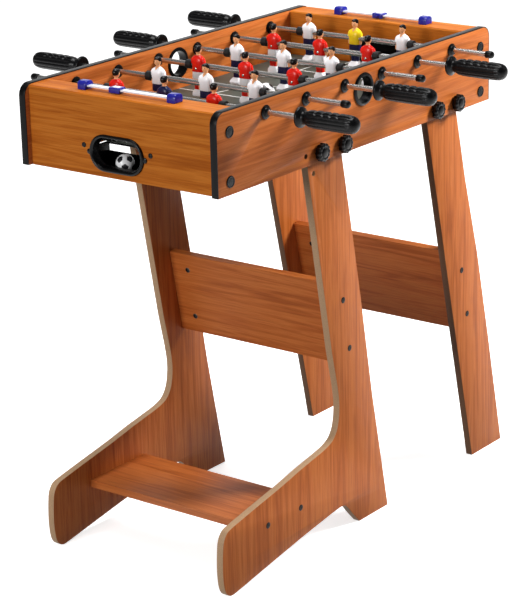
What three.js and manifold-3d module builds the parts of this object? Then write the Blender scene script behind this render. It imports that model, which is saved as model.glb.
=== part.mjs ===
// Folding foosball table: an open wooden cabinet with six playing rods on a
// tilting stand. Millimetres, +Z up, +X from the near goal to the far goal.
// The front stand is a pair of L-shaped legs; the cabinet turns up on them for
// storage, and the straight rear legs swing in behind.
import * as THREE from "three";
import { mergeVertices } from "three/addons/utils/BufferGeometryUtils.js";
import Module from "manifold-3d";

const wasm = await Module();
wasm.setup();

// ---------- driving dimensions ----------
const ORIGIN_X = 424.05; // middle of the footprint, measured from the near edge of the side panels
const CAB_LENGTH = 778;
const CAB_HALF_WIDTH = 200;
const PANEL_T = 12.5; // side panels
const TRIM_T = 1.5; // room left around the side panels for their edge moulding
const Z_BOTTOM = 669;
const Z_TOP = 802;
const CORNER_R = 20;
const INNER = CAB_HALF_WIDTH - PANEL_T; // 187.5
const GAP = 0.3;

const END_OUT = 10; // end panel set back from the ends of the side panels
const END_T = 9;
const END_TOP_Z = 799.5;
const END_TOP_T = 10;
const GOAL_WALL_X = 53;
const GOAL_WALL_T = 9;
const GOAL_HALF_WIDTH = 55;
const GOAL_TOP_Z = 769;

const FIELD_Z = 719.5;
const FIELD_T = 5;

const ROD_Z = 780;
const ROD_R = 4.5;
const ROD_PITCH = 106.1;
const ROD_COUNT = 6;
const ROD_HOLE_R = 5.2;
const GRIP_START = 264; // distance of the grip's flange from the middle plane
const GRIP_LENGTH = 110;
const GRIP_BORE = 96;
const ROD_FREE_END = 282;
const CAP_START = 269.5;
const CAP_END = 284.5;
const CAP_R = 6.4;
const MAN_Y = [100, 0, -100];
const MAN_BORE_R = 4.8;

const SERVE_Z = 764;
const SERVE_R = 23;

const LEG_OUT = INNER - GAP; // 187.2, outer face of every leg panel
const LEG_T = 12.8;
const LEG_IN = LEG_OUT - LEG_T;
const PIVOT_FRONT = [264, 686];
const LOCK_FRONT = [328, 686];
const STOW_HOLE = [227, 686]; // lock hole used when the table is stowed
const LEG_STOW_HOLE = [264.6, 648];
const PIVOT_REAR = [605, 685];
const LOCK_REAR = [669, 685];
const BOLT_HOLE_R = 4.5;
const BOLT_R = 3.9;
const KNOB_R = 14.6;

const SHELF = { x0: 96, x1: 240, z0: 79.5, z1: 92.5 };
const BRACE_T = 13;
const BALL_R = 15.5;
const CUP_Y = 6.5; // the return cups sit a little to one side of the middle
const CUP_Z = 708.5;
const TRAY_TOP = FIELD_Z - FIELD_T - GAP;

const MID = CAB_LENGTH / 2;
const rodX = (i) => MID + (i - (ROD_COUNT - 1) / 2) * ROD_PITCH;

// ---------- finishes ----------
const finish = (color, roughness, metalness = 0) =>
  new THREE.MeshStandardMaterial({ color, roughness, metalness });
const CHERRY = finish(0xb5622f, 0.45);
const CHERRY_DARK = finish(0x8a4522, 0.5);
const FIELD = finish(0x4d5249, 0.6);
const BLACK_PLASTIC = finish(0x101113, 0.4);
const CHROME = finish(0xc9c9c9, 0.2, 1);
const RED = finish(0xd81f16, 0.3);
const WHITE = finish(0xeceef2, 0.3);
const NAVY = finish(0x191c46, 0.35);
const YELLOW = finish(0xf2d31c, 0.3);
const BLUE = finish(0x2a2fae, 0.35);
const BALL = finish(0xe9e9ea, 0.35);

// ---------- geometry helpers ----------
function solid(geometry) {
  const g = geometry.index ? geometry.toNonIndexed() : geometry.clone();
  g.deleteAttribute("normal");
  g.deleteAttribute("uv");
  const m = mergeVertices(g, 1e-4);
  const index = [];
  for (let i = 0; i < m.index.count; i += 3) {
    const [a, b, c] = [m.index.getX(i), m.index.getX(i + 1), m.index.getX(i + 2)];
    if (a !== b && b !== c && a !== c) index.push(a, b, c);
  }
  return new wasm.Manifold(
    new wasm.Mesh({
      numProp: 3,
      vertProperties: new Float32Array(m.attributes.position.array),
      triVerts: new Uint32Array(index),
    }),
  );
}

function geometryOf(body) {
  const m = body.getMesh();
  const g = new THREE.BufferGeometry();
  g.setAttribute("position", new THREE.BufferAttribute(new Float32Array(m.vertProperties), 3));
  g.setIndex(new THREE.BufferAttribute(new Uint32Array(m.triVerts), 1));
  g.computeVertexNormals();
  return g;
}

const root = new THREE.Group();
root.position.x = -ORIGIN_X;

function add(name, body, material) {
  const mesh = new THREE.Mesh(geometryOf(body), material);
  mesh.name = name;
  root.add(mesh);
  return mesh;
}

function block(x0, x1, y0, y1, z0, z1) {
  const g = new THREE.BoxGeometry(x1 - x0, y1 - y0, z1 - z0);
  g.translate((x0 + x1) / 2, (y0 + y1) / 2, (z0 + z1) / 2);
  return solid(g);
}

const circle = (x, z, r, n = 8) =>
  new THREE.Path(
    Array.from({ length: n }, (_, i) => new THREE.Vector2(x + r * Math.cos(((i + 0.5) / n) * Math.PI * 2), z - r * Math.sin(((i + 0.5) / n) * Math.PI * 2))),
  );

// A board cut from an outline in the X-Z plane, between two heights of Y.
function boardXZ(outline, y0, y1, holes = [], curve = 6) {
  const shape = outline instanceof THREE.Shape ? outline : new THREE.Shape(outline.map(([x, z]) => new THREE.Vector2(x, z)));
  shape.holes.push(...holes);
  const g = new THREE.ExtrudeGeometry(shape, { depth: y1 - y0, bevelEnabled: false, curveSegments: curve });
  g.rotateX(Math.PI / 2);
  g.translate(0, y1, 0);
  return solid(g);
}

// A piece cut from an outline in the Y-Z plane, between two values of X.
function boardYZ(outline, x0, x1, curve = 6) {
  const shape = outline instanceof THREE.Shape ? outline : new THREE.Shape(outline.map(([y, z]) => new THREE.Vector2(y, z)));
  const g = new THREE.ExtrudeGeometry(shape, { depth: x1 - x0, bevelEnabled: false, curveSegments: curve });
  // (y, z, depth) becomes (depth, y, z)
  g.applyMatrix4(new THREE.Matrix4().set(0, 0, 1, x0, 1, 0, 0, 0, 0, 1, 0, 0, 0, 0, 0, 1));
  return solid(g);
}

// A turned piece about a line along Y through (x, z). The profile holds [radius, y].
function turned(profile, x, z, segments = 16) {
  const make = (points) => {
    const g = new THREE.LatheGeometry(points.map(([r, y]) => new THREE.Vector2(r, y)), segments);
    return solid(g);
  };
  let body = make(profile);
  if (body.volume() < 0) body = make([...profile].reverse());
  return body.translate([x, 0, z]);
}

function stadium(halfWidth, halfHeight, zc) {
  const r = halfHeight;
  const s = new THREE.Shape();
  s.moveTo(-halfWidth + r, zc - r);
  s.lineTo(halfWidth - r, zc - r);
  s.absarc(halfWidth - r, zc, r, -Math.PI / 2, Math.PI / 2, false);
  s.lineTo(-halfWidth + r, zc + r);
  s.absarc(-halfWidth + r, zc, r, Math.PI / 2, (Math.PI * 3) / 2, false);
  return s;
}

// ---------- side panels ----------
function sidePanelShape() {
  const x0 = TRIM_T, x1 = CAB_LENGTH - TRIM_T, z0 = Z_BOTTOM, z1 = Z_TOP - TRIM_T, r = CORNER_R - TRIM_T;
  const s = new THREE.Shape();
  s.moveTo(x0, z0);
  s.lineTo(x1, z0);
  s.lineTo(x1, z1 - r);
  s.absarc(x1 - r, z1 - r, r, 0, Math.PI / 2, false);
  s.lineTo(x0 + r, z1);
  s.absarc(x0 + r, z1 - r, r, Math.PI / 2, Math.PI, false);
  return s;
}
function sidePanelHoles() {
  const holes = [];
  for (let i = 0; i < ROD_COUNT; i++) holes.push(circle(rodX(i), ROD_Z, ROD_HOLE_R, 12));
  for (const p of [PIVOT_FRONT, LOCK_FRONT, STOW_HOLE, PIVOT_REAR, LOCK_REAR]) holes.push(circle(p[0], p[1], BOLT_HOLE_R));
  holes.push(circle(MID, SERVE_Z, SERVE_R, 24));
  return holes;
}
add("side_panel_right", boardXZ(sidePanelShape(), -CAB_HALF_WIDTH, -INNER, sidePanelHoles(), 6), CHERRY);
add("side_panel_left", boardXZ(sidePanelShape(), INNER, CAB_HALF_WIDTH, sidePanelHoles(), 6), CHERRY);

// ---------- end boxes: end panel, top board and goal wall, folded from one board ----------
function endBox() {
  const top = END_TOP_Z, under = END_TOP_Z - END_TOP_T;
  const o = END_OUT, i = END_OUT + END_T, g0 = GOAL_WALL_X, g1 = GOAL_WALL_X + GOAL_WALL_T;
  let body = boardXZ(
    [[o, Z_BOTTOM], [i, Z_BOTTOM], [i, under], [g0, under], [g0, FIELD_Z + GAP], [g1, FIELD_Z + GAP], [g1, top - 2], [g1 - 2, top], [o + 2, top], [o, top - 2]],
    -INNER + GAP, INNER - GAP,
  );
  // mouth of the ball return in the end panel
  body = body.subtract(boardYZ(stadium(50.6, 26.6, CUP_Z), o - 2, i + 2).translate([0, CUP_Y, 0]));
  // goal mouth in the goal wall
  body = body.subtract(block(g0 - 2, g1 + 2, -GOAL_HALF_WIDTH, GOAL_HALF_WIDTH, FIELD_Z - 5, GOAL_TOP_Z));
  return body;
}
const mirrorX = (body) => body.mirror([1, 0, 0]).translate([CAB_LENGTH, 0, 0]);
const turnEnd = (body) => body.rotate([0, 0, 180]).translate([CAB_LENGTH, 0, 0]);
add("near_end_box", endBox(), CHERRY);
add("far_end_box", turnEnd(endBox()), CHERRY);

// ---------- playfield ----------
add("playfield", block(GOAL_WALL_X, CAB_LENGTH - GOAL_WALL_X, -INNER + GAP, INNER - GAP, FIELD_Z - FIELD_T, FIELD_Z), FIELD);

// ---------- ball return cups ----------
function ballCup() {
  const zc = CUP_Z, y0 = CUP_Y;
  // flange ring on the face of the end panel, with a small ear at each side
  const ring = stadium(55, 30, zc);
  let body = boardYZ(ring, 6, END_OUT - GAP, 7);
  for (const s of [-1, 1]) {
    const ear = new THREE.Shape().absarc(s * 55, zc - 1, 4.5, 0, Math.PI * 2, false);
    body = body.add(boardYZ(ear, 6, END_OUT - GAP, 4));
  }
  // mouth tube through the panel
  body = body.add(boardYZ(stadium(50.2, 26.2, zc), 8, 23, 7));
  // tray behind the panel that holds the ball
  body = body.add(block(END_OUT + END_T + GAP, 60, -60, 60, 670.5, TRAY_TOP));
  // inside of the mouth
  body = body.subtract(boardYZ(stadium(48, 24, zc), 0, 30, 7));
  // inside of the tray, open above so that the ball drops in from the goal
  body = body.subtract(block(END_OUT + END_T + 2.3, 58, -58, 58, 672.5, 711));
  body = body.subtract(block(END_OUT + END_T - 1, 52.7, -58, 58, 710, 745));
  // window above the low back lip
  body = body.subtract(block(50, 62, -56, 56, 698, 711));
  // the mouth tube only reaches through the panel below its roof line
  body = body.subtract(block(END_OUT + END_T + 2.3, 52.7, -58, 58, 684, 745));
  return body.translate([0, y0, 0]);
}
add("near_ball_cup", ballCup(), BLACK_PLASTIC);
add("far_ball_cup", turnEnd(ballCup()), BLACK_PLASTIC);

// ---------- front stand ----------
const FRONT_LEG = [
  // back edge, top, front edge, then round the long foot
  [469, 0], [459, 50], [424.6, 220.7], [397.5, 380], [370.6, 523.7], [343.4, 664], [337.4, 695], [334, 704], [327, 710], [318, 712], [274, 712],
  [263, 709.5], [253.5, 703.5], [247, 695], [244.6, 685.5], [249, 656], [307.6, 330.5], [319.8, 276.5], [325, 249.5], [326.6, 232], [325.4, 212],
  [320.6, 193], [313.5, 181], [303.5, 172.6], [286, 166.3], [259.6, 160.9], [212.5, 152.4], [156.3, 140.5], [90.4, 128.8], [55.5, 122.4], [22.8, 115.9], [14.4, 112.9],
  [8, 107], [3.6, 99], [1.6, 90], [-0.2, 70.5], [-0.9, 44.6], [1.3, 23], [4.3, 13], [8.8, 6], [15, 1.6], [22, 0], [30, 0.7], [85.8, 9.9],
  [152.1, 20.9], [222.9, 32.2], [295.5, 42.2], [318, 45], [329, 45.6], [338.4, 43.9], [347.2, 37.3], [361.9, 20.8], [372.3, 9.8], [381.8, 0],
];
const legHoles = (...points) => points.map((p) => circle(p[0], p[1], BOLT_HOLE_R));
const frontLeg = (y0, y1) => boardXZ(FRONT_LEG, y0, y1, legHoles(PIVOT_FRONT, LOCK_FRONT, LEG_STOW_HOLE), 4);
add("front_leg_right", frontLeg(-LEG_OUT, -LEG_IN), CHERRY);
add("front_leg_left", frontLeg(LEG_IN, LEG_OUT), CHERRY);

// A brace board between two legs, standing along a leaning line, with square edges.
function brace(xTop, zTop, xBottom, zBottom, thickness) {
  const dx = xBottom - xTop, dz = zBottom - zTop, n = Math.hypot(dx, dz);
  const px = (-dz / n) * (thickness / 2), pz = (dx / n) * (thickness / 2);
  const y = LEG_IN - GAP;
  return boardXZ(
    [[xTop - px, zTop - pz], [xBottom - px, zBottom - pz], [xBottom + px, zBottom + pz], [xTop + px, zTop + pz]],
    -y, y,
  );
}
add("front_brace", brace(336.2, 443, 364.6, 294, BRACE_T), CHERRY_DARK);
add("foot_shelf", block(SHELF.x0, SHELF.x1, -LEG_IN + GAP, LEG_IN - GAP, SHELF.z0, SHELF.z1), CHERRY_DARK);

// ---------- rear stand ----------
const REAR_LEG = [
  [747.7, 0], [849, 0], [801.4, 218.6], [762.4, 388], [720.6, 536], [691, 661], [684.5, 688], [680.5, 700], [673, 708.5], [663, 712], [611, 712],
  [600.5, 708.5], [592.8, 701], [589.6, 692], [590.6, 684], [598.4, 657.7], [632.3, 507.4], [671.2, 334.3], [709.4, 168.5],
];
const rearLeg = (y0, y1) => boardXZ(REAR_LEG, y0, y1, legHoles(PIVOT_REAR, LOCK_REAR), 4);
add("rear_leg_right", rearLeg(-LEG_OUT, -LEG_IN), CHERRY);
add("rear_leg_left", rearLeg(LEG_IN, LEG_OUT), CHERRY);
add("rear_brace", brace(701.6, 404, 737.4, 249, BRACE_T), CHERRY_DARK);

// ---------- pivot knobs: star head with a bolt through the side panel and the leg ----------
function pivotKnob(side, [x, z]) {
  const lobes = 12, points = [];
  for (let i = 0; i < 24; i++) {
    const a = (i / 24) * Math.PI * 2, r = KNOB_R + 0.9 * Math.cos(lobes * a);
    points.push([x + r * Math.cos(a), z + r * Math.sin(a)]);
  }
  const near = CAB_HALF_WIDTH + 0.5, face = near + 11;
  let body = boardXZ(points, near + 1.5, face);
  body = body.add(turned([[0, LEG_IN + 0.5], [BOLT_R, LEG_IN + 0.5], [BOLT_R, near], [10.5, near], [10.5, face - 1], [8.5, face + 1.2], [0, face + 1.8]], x, z, 12));
  return side > 0 ? body : body.mirror([0, 1, 0]);
}
add("pivot_knob_front_right", pivotKnob(-1, PIVOT_FRONT), BLACK_PLASTIC);
add("pivot_knob_front_left", pivotKnob(1, PIVOT_FRONT), BLACK_PLASTIC);
add("pivot_knob_rear_right", pivotKnob(-1, PIVOT_REAR), BLACK_PLASTIC);
add("pivot_knob_rear_left", pivotKnob(1, PIVOT_REAR), BLACK_PLASTIC);

// ---------- playing rods, grips, end caps ----------
// Rods 1, 3 and 5 are played from the right side (-Y), the others from the left.
function rod(side, x) {
  const end = GRIP_START + GRIP_BORE - 1;
  const y0 = side < 0 ? -end : -ROD_FREE_END, y1 = side < 0 ? ROD_FREE_END : end;
  return turned([[0, y0], [ROD_R - 0.5, y0], [ROD_R, y0 + 0.5], [ROD_R, y1 - 0.5], [ROD_R - 0.5, y1], [0, y1]], x, ROD_Z, 12);
}
function grip(side, x) {
  const s = GRIP_START, bore = ROD_R + GAP;
  const body = turned(
    [
      [0, s + GRIP_BORE], [bore, s + GRIP_BORE], [bore, s], [15.6, s], [16.4, s + 3], [14.5, s + 6.2], [10.2, s + 9], [10.2, s + 14],
      [13.6, s + 19.5], [14.5, s + 50], [14.2, s + 96], [11.6, s + 105.5], [7, s + 109.2], [0, s + GRIP_LENGTH],
    ],
    x, ROD_Z, 12,
  );
  return side > 0 ? body : body.mirror([0, 1, 0]);
}
function rodCap(side, x) {
  const body = turned(
    [[0, ROD_FREE_END + 0.4], [ROD_R + GAP, ROD_FREE_END + 0.4], [ROD_R + GAP, CAP_START], [CAP_R, CAP_START], [CAP_R, CAP_END - 1.2], [CAP_R - 1.4, CAP_END], [0, CAP_END]],
    x, ROD_Z, 12,
  );
  return side > 0 ? body : body.mirror([0, 1, 0]);
}

// ---------- men ----------
// A man facing +X, his rod bore on the Y axis at the origin.
const MAN_FRONT = [
  // half width (Y) at each height (Z), from the foot up
  [9, -52.5], [10.3, -50], [10.2, -45], [7.2, -39.5], [7.4, -29], [10.2, -18], [10.8, -10],
  [14.4, 4], [14, 11], [10.5, 15.5], [3.6, 18], [3.8, 20.4], [6.7, 25], [5.6, 31.4], [2.8, 33.5],
];
const MAN_SIDE = [
  // outline in X-Z, from behind the heel round the toe
  [-7.5, -52.5], [9, -52.5], [12.6, -48], [6.4, -40], [5.4, -32], [7.4, -16],
  [8.4, 1], [7.6, 11], [3.4, 18], [3.8, 20.4], [7.2, 24], [6, 30.5], [2, 33.5],
  [-3, 33.5], [-7, 28.5], [-5.4, 20.4], [-4.2, 18], [-7.6, 11], [-7.4, -14], [-6.2, -38], [-8.8, -46],
];
function man(facing) {
  const front = [...MAN_FRONT.map(([y, z]) => [y, z]), ...[...MAN_FRONT].reverse().map(([y, z]) => [-y, z])];
  let body = boardYZ(front, -20, 20).intersect(boardXZ(MAN_SIDE, -20, 20));
  body = body.subtract(turned([[0, -30], [MAN_BORE_R, -30], [MAN_BORE_R, 30], [0, 30]], 0, 0, 12));
  return facing > 0 ? body : body.mirror([1, 0, 0]);
}
const manFacingFar = man(1), manFacingNear = man(-1);

for (let i = 0; i < ROD_COUNT; i++) {
  const side = i % 2 === 0 ? -1 : 1, x = rodX(i), n = i + 1;
  add(`rod_${n}`, rod(side, x), CHROME);
  add(`rod_${n}_grip`, grip(side, x), BLACK_PLASTIC);
  add(`rod_${n}_end_cap`, rodCap(-side, x), BLACK_PLASTIC);
  MAN_Y.forEach((y, k) => {
    const place = ["left", "middle", "right"][k];
    const red = i % 2 === 0;
    const keeper = k === 1 && (i === 0 || i === ROD_COUNT - 1);
    const body = (red ? manFacingFar : manFacingNear).translate([x, y, ROD_Z]);
    add(`man_${n}_${place}`, body, keeper ? (red ? NAVY : YELLOW) : red ? RED : WHITE);
  });
}

// ---------- score counters ----------
const SCORE_X = 38, SCORE_Z = END_TOP_Z + GAP, SCORE_END = 99, SCORE_INNER = 82.5;
function scoreBar() {
  let body = block(SCORE_X - 5.5, SCORE_X + 5.5, -SCORE_INNER - 4, SCORE_INNER + 4, SCORE_Z + 4.6, SCORE_Z + 7);
  const hood = new THREE.Shape();
  hood.moveTo(SCORE_X - 10, SCORE_Z);
  hood.lineTo(SCORE_X + 10, SCORE_Z);
  hood.lineTo(SCORE_X + 10, SCORE_Z + 6.5);
  hood.absarc(SCORE_X + 3, SCORE_Z + 6.5, 7, 0, Math.PI / 2, false);
  hood.lineTo(SCORE_X - 3, SCORE_Z + 13.5);
  hood.absarc(SCORE_X - 3, SCORE_Z + 6.5, 7, Math.PI / 2, Math.PI, false);
  const points = hood.getPoints(6).map((p) => [p.x, p.y]);
  body = body.add(boardXZ(points, SCORE_INNER, SCORE_END));
  body = body.add(boardXZ(points, -SCORE_END, -SCORE_INNER));
  return body;
}
function scoreSlider(y) {
  const inner = 5.5 + GAP;
  return boardXZ(
    [[SCORE_X - 8, SCORE_Z + 1.6], [SCORE_X + 8, SCORE_Z + 1.6], [SCORE_X + 8, SCORE_Z + 8.4], [SCORE_X + 6.8, SCORE_Z + 9.6], [SCORE_X - 6.8, SCORE_Z + 9.6], [SCORE_X - 8, SCORE_Z + 8.4]],
    y - 11, y + 11,
  ).subtract(block(SCORE_X - inner, SCORE_X + inner, y - 12, y + 12, SCORE_Z + 4.6 - GAP, SCORE_Z + 7 + GAP));
}
add("near_score_bar", scoreBar(), WHITE);
add("far_score_bar", mirrorX(scoreBar()), WHITE);
add("near_score_slider", scoreSlider(25), BLUE);
add("far_score_slider", mirrorX(scoreSlider(6)), BLUE);

// ---------- balls ----------
function ball(x, y, z) {
  const g = new THREE.SphereGeometry(BALL_R, 14, 10);
  g.translate(x, y, z);
  return solid(g);
}
add("ball_in_play", ball(MID, 0, FIELD_Z + BALL_R + 0.15), BALL);
add("ball_in_cup", ball(36.4, 13, 672.5 + BALL_R + 0.15), BALL);

export default root;
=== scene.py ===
"""Looks for the folding foosball table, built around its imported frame. Plans are in millimetres from the near
edge of the side panels, and are turned into the row frame's metres as each piece is made."""

import math

import bmesh
import bpy
from mathutils import Matrix, Vector


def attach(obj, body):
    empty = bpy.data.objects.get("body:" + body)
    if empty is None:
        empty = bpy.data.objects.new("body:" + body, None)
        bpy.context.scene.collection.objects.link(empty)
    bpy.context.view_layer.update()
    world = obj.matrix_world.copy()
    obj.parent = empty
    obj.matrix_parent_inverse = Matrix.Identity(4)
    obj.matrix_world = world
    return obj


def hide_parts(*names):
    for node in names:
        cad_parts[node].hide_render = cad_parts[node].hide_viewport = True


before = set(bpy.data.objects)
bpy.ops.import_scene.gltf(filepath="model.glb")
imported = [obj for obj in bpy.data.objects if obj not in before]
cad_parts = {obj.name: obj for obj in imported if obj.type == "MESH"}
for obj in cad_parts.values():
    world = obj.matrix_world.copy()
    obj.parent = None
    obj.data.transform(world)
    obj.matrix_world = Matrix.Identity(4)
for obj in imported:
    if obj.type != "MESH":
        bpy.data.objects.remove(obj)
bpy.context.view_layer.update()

X0 = 424.05
PANEL_L = 778.0
INNER = 187.5
OUTER = 200.0
ROD_Z = 780.0
PITCH = 106.1
ROD_X = [PANEL_L / 2 + (i - 2.5) * PITCH for i in range(6)]
MAN_Y = [100, 0, -100]
PLACES = ["left", "middle", "right"]
PIVOT_FRONT, LOCK_FRONT, STOW = (264, 686), (328, 686), (227, 686)
PIVOT_REAR, LOCK_REAR = (605, 685), (669, 685)
SERVE = (389, 764)


# ---------------------------------------------------------------- materials
def new_material(name):
    m = bpy.data.materials.new(name)
    m.use_nodes = True
    nt = m.node_tree
    return m, nt, nt.nodes["Principled BSDF"]


def ramp(nt, fac, stops):
    r = nt.nodes.new("ShaderNodeValToRGB")
    while len(r.color_ramp.elements) < len(stops):
        r.color_ramp.elements.new(0.5)
    for e, (p, c) in zip(r.color_ramp.elements, stops):
        e.position = p
        e.color = (*c, 1)
    nt.links.new(fac, r.inputs["Fac"])
    return r.outputs["Color"]


def stretched_noise(nt, scale, size, detail=6, rough=0.6, distortion=0.0, offset=(0, 0, 0)):
    tc = nt.nodes.new("ShaderNodeTexCoord")
    mp = nt.nodes.new("ShaderNodeMapping")
    mp.inputs["Scale"].default_value = scale
    mp.inputs["Location"].default_value = offset
    nt.links.new(tc.outputs["Object"], mp.inputs["Vector"])
    n = nt.nodes.new("ShaderNodeTexNoise")
    n.inputs["Scale"].default_value = size
    n.inputs["Detail"].default_value = detail
    n.inputs["Roughness"].default_value = rough
    n.inputs["Distortion"].default_value = distortion
    nt.links.new(mp.outputs["Vector"], n.inputs["Vector"])
    return n.outputs["Fac"]


def mix_color(nt, fac, a, b, mode="MIX"):
    m = nt.nodes.new("ShaderNodeMix")
    m.data_type = "RGBA"
    m.blend_type = mode
    if isinstance(fac, float):
        m.inputs[0].default_value = fac
    else:
        nt.links.new(fac, m.inputs[0])
    for sock, v in ((m.inputs[6], a), (m.inputs[7], b)):
        if isinstance(v, tuple):
            sock.default_value = (*v, 1)
        else:
            nt.links.new(v, sock)
    return m.outputs[2]


def bump(nt, bsdf, fac, strength, distance=0.0004):
    b = nt.nodes.new("ShaderNodeBump")
    b.inputs["Strength"].default_value = strength
    b.inputs["Distance"].default_value = distance
    nt.links.new(fac, b.inputs["Height"])
    nt.links.new(b.outputs["Normal"], bsdf.inputs["Normal"])


def map_range(nt, fac, lo, hi, a=0.0, b=1.0):
    r = nt.nodes.new("ShaderNodeMapRange")
    r.inputs["From Min"].default_value = a
    r.inputs["From Max"].default_value = b
    r.inputs["To Min"].default_value = lo
    r.inputs["To Max"].default_value = hi
    nt.links.new(fac, r.inputs["Value"])
    return r.outputs["Result"]


def cherry(name, along, dark, mid, light, offset=(0, 0, 0), edge=None, face_axis="Y", spec=0.14, chamber=False):
    """Cherry-printed board. `along` is the grain direction; `edge` colours the sawn edges where they aren't covered."""
    m, nt, bsdf = new_material(name)
    s = {"X": (1.6, 36, 36), "Y": (36, 1.6, 36), "Z": (36, 36, 1.6)}[along]
    f = {"X": (5, 240, 240), "Y": (240, 5, 240), "Z": (240, 240, 5)}[along]
    broad = stretched_noise(nt, s, 1.9, 5, 0.55, 1.3, offset)
    fine = stretched_noise(nt, f, 3.0, 4, 0.6, 0.2, offset)
    col = ramp(nt, broad, [(0.34, dark), (0.46, mid), (0.56, light), (0.72, mid)])
    streak = ramp(nt, fine, [(0.36, (0.70, 0.61, 0.56)), (0.50, (0.98, 0.98, 0.98)), (0.70, (1.06, 1.07, 1.08))])
    col = mix_color(nt, 0.62, col, streak, "MULTIPLY")
    rough = map_range(nt, fine, 0.40, 0.54)
    if edge:
        tc = nt.nodes.new("ShaderNodeTexCoord")
        sep = nt.nodes.new("ShaderNodeSeparateXYZ")
        nt.links.new(tc.outputs["Normal"], sep.inputs[0])
        ab = nt.nodes.new("ShaderNodeMath")
        ab.operation = "ABSOLUTE"
        nt.links.new(sep.outputs[face_axis], ab.inputs[0])
        gt = map_range(nt, ab.outputs[0], 0.0, 1.0, 0.62, 0.72)
        speck = stretched_noise(nt, (1, 1, 1), 900, 3, 0.7)
        raw = ramp(nt, speck, [(0.3, tuple(c * 0.72 for c in edge)), (0.62, edge), (0.8, tuple(min(1, c * 1.25) for c in edge))])
        col = mix_color(nt, gt, raw, col)
    if chamber:
        # the walls of the space between the two boards of each end, where balls drop, are coloured near black
        tc = nt.nodes.new("ShaderNodeTexCoord")
        sep = nt.nodes.new("ShaderNodeSeparateXYZ")
        nt.links.new(tc.outputs["Object"], sep.inputs[0])
        off = nt.nodes.new("ShaderNodeMath")
        off.operation = "SUBTRACT"
        off.inputs[1].default_value = (PANEL_L / 2 - X0) / 1000
        nt.links.new(sep.outputs["X"], off.inputs[0])
        ab = nt.nodes.new("ShaderNodeMath")
        ab.operation = "ABSOLUTE"
        nt.links.new(off.outputs[0], ab.inputs[0])
        inner = map_range(nt, ab.outputs[0], 0.0, 1.0, (PANEL_L / 2 - 53.5) / 1000, (PANEL_L / 2 - 53.1) / 1000)
        outer = map_range(nt, ab.outputs[0], 1.0, 0.0, (PANEL_L / 2 - 18.9) / 1000, (PANEL_L / 2 - 18.5) / 1000)
        low = map_range(nt, sep.outputs["Z"], 1.0, 0.0, 0.7945, 0.7955)
        for gate in (outer, low):
            mul = nt.nodes.new("ShaderNodeMath")
            mul.operation = "MULTIPLY"
            nt.links.new(inner, mul.inputs[0])
            nt.links.new(gate, mul.inputs[1])
            inner = mul.outputs[0]
        col = mix_color(nt, inner, col, (0.006, 0.006, 0.006))
    nt.links.new(col, bsdf.inputs["Base Color"])
    nt.links.new(rough, bsdf.inputs["Roughness"])
    bsdf.inputs["Specular IOR Level"].default_value = spec
    bump(nt, bsdf, fine, 0.08, 0.0003)
    return m


def plastic(name, color, rough=0.3, spread=0.08, bump_size=700, strength=0.04, spec=0.5, metallic=0.0, tint=0.9):
    m, nt, bsdf = new_material(name)
    n = stretched_noise(nt, (1, 1, 1), bump_size, 3, 0.6)
    col = ramp(nt, n, [(0.3, tuple(c * tint for c in color)), (0.7, color)])
    nt.links.new(col, bsdf.inputs["Base Color"])
    nt.links.new(map_range(nt, n, rough - spread / 2, rough + spread / 2), bsdf.inputs["Roughness"])
    bsdf.inputs["Specular IOR Level"].default_value = spec
    bsdf.inputs["Metallic"].default_value = metallic
    bump(nt, bsdf, n, strength, 0.0002)
    return m


C_DARK, C_MID, C_LIGHT = (0.37, 0.088, 0.015), (0.475, 0.124, 0.024), (0.55, 0.160, 0.036)
WOOD_PANEL = cherry("cherry_panel_grain", "X", C_DARK, C_MID, C_LIGHT, edge=(0.16, 0.085, 0.045))
E_DARK, E_MID, E_LIGHT = (0.35, 0.088, 0.009), (0.455, 0.126, 0.014), (0.53, 0.165, 0.022)
WOOD_END = cherry("cherry_end_grain", "Y", E_DARK, E_MID, E_LIGHT, (0.3, 0.1, 0), spec=0.03, chamber=True)
WOOD_LEG = cherry("cherry_leg_grain", "Z", C_DARK, C_MID, C_LIGHT, (0.1, 0.7, 0.2), edge=(0.52, 0.33, 0.19))
# the rear legs' uncovered sawn edges are coloured dark brown as painted shade; the front legs' edges, of the same raw
# board, are pale tan
WOOD_REAR_SHADED_EDGE = cherry("cherry_rear_grain_shaded_edge", "Z", C_DARK, C_MID, C_LIGHT, (0.5, 0.2, 0.9), edge=(0.15, 0.072, 0.036))
WOOD_BRACE = cherry("cherry_brace_grain", "Y", C_DARK, C_MID, C_LIGHT, (0.9, 0.3, 0.4))
WOOD_SHELF = cherry("cherry_shelf_grain", "Y", C_DARK, C_MID, C_LIGHT, (0.2, 0.9, 0.1), spec=0.42)
BLACK = plastic("black_gloss_plastic", (0.0022, 0.0022, 0.0026), 0.28, spec=0.17)
TRIM = plastic("black_edge_moulding", (0.0016, 0.0015, 0.0016), 0.36, spec=0.13)
RUBBER = plastic("black_rubber", (0.006, 0.006, 0.0065), 0.45, spec=0.35)
CHROME = plastic("chrome_plate", (0.56, 0.54, 0.52), 0.27, 0.0, 120, 0.0, metallic=1.0, tint=0.99)
ZINC = plastic("zinc_plated_nut", (0.12, 0.09, 0.07), 0.45, 0.1, 200, 0.02, metallic=1.0)
DARK_HEAD = plastic("dark_bolt_head", (0.006, 0.005, 0.005), 0.4, spec=0.14)
SKIN = plastic("figure_skin", (0.90, 0.43, 0.20), 0.32, spec=0.35)
HAIR = plastic("figure_hair", (0.005, 0.004, 0.004), 0.22, spec=0.3)
RED = plastic("figure_red", (0.78, 0.014, 0.007), 0.25, spec=0.35)
WHITE = plastic("figure_white", (0.96, 0.97, 1.0), 0.26, spec=0.5, tint=0.97)
NAVY = plastic("figure_navy", (0.009, 0.012, 0.065), 0.28, spec=0.3)
YELLOW = plastic("figure_yellow", (0.92, 0.66, 0.012), 0.28, spec=0.35)
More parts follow.
